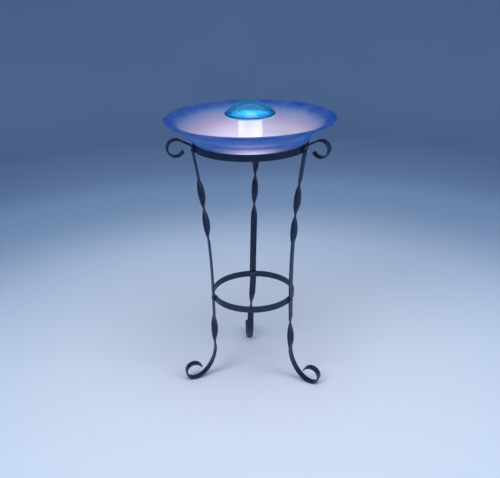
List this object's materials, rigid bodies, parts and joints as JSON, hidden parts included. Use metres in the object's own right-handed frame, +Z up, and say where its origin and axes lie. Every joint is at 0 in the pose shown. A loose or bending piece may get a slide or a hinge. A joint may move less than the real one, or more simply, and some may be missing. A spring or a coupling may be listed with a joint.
{
  "type": "bird bath",
  "caption": "Lit glass bird bath: frosted bowl on a scrolled iron tripod stand, with a lamp column under a small blue glass dome.",
  "frame": {"origin": "on the floor under the bowl's centre", "axes": "+Z up along the bowl's axis, +Y towards the rear leg's joint at the lower ring, -Y towards the viewer"},
  "size_m": [0.406, 0.406, 0.719],
  "materials": {
    "wrought_iron": "satin black paint over hand-worked bar",
    "blackened_steel": "satin blackened steel",
    "zinc_steel": "plated steel",
    "frosted_bowl_glass": "satin frosted glass, cobalt at the rim fading to pearl lilac",
    "black_rubber": "matt rubber",
    "brass": "turned brass",
    "white_moulding": "white moulded plastic",
    "polished_aluminium": "polished",
    "ceramic": "fired ceramic",
    "clear_lamp_glass": "clear quartz glass",
    "opal_column": "opal frosted",
    "black_moulding": "black moulded plastic",
    "clear_silicone": "translucent silicone",
    "hammered_blue_glass": "hammered turquoise glass, clear gloss"
  },
  "bodies": {
    "stand": {"top_ring": "wrought_iron", "lower_ring": "wrought_iron", "leg_rear": "wrought_iron", "leg_left": "wrought_iron", "leg_right": "wrought_iron", "leg_bolts": "blackened_steel", "leg_washers": "zinc_steel", "leg_nuts": "blackened_steel"},
    "bowl": {"glass_bowl": "frosted_bowl_glass", "upper_gasket": "black_rubber", "lower_gasket": "black_rubber", "stem_washer": "zinc_steel", "stem_nut": "brass", "lamp_stem": "brass", "lamp_base": "white_moulding", "terminal_block": "white_moulding", "terminal_screw": "zinc_steel", "reflector": "polished_aluminium", "reflector_screws": "zinc_steel", "lamp_holder": "ceramic", "holder_screws": "zinc_steel", "holder_nuts": "zinc_steel", "capsule_glass": "clear_lamp_glass", "capsule_pins": "zinc_steel", "column_seal": "black_rubber", "column": "opal_column", "gland_body": "black_moulding", "gland_seal": "black_rubber", "gland_nut": "black_moulding"},
    "dome": {"dome_plate": "opal_column", "dome_seal": "clear_silicone", "glass_dome": "hammered_blue_glass"}
  },
  "joints": [
    {"name": "bowl_lift", "type": "slide", "parent": "stand", "child": "bowl", "axis": [0, 0, 1], "range_m": [0, 0.12]},
    {"name": "dome_lift", "type": "slide", "parent": "bowl", "child": "dome", "axis": [0, 0, 1], "range_m": [0, 0.06]}
  ]
}
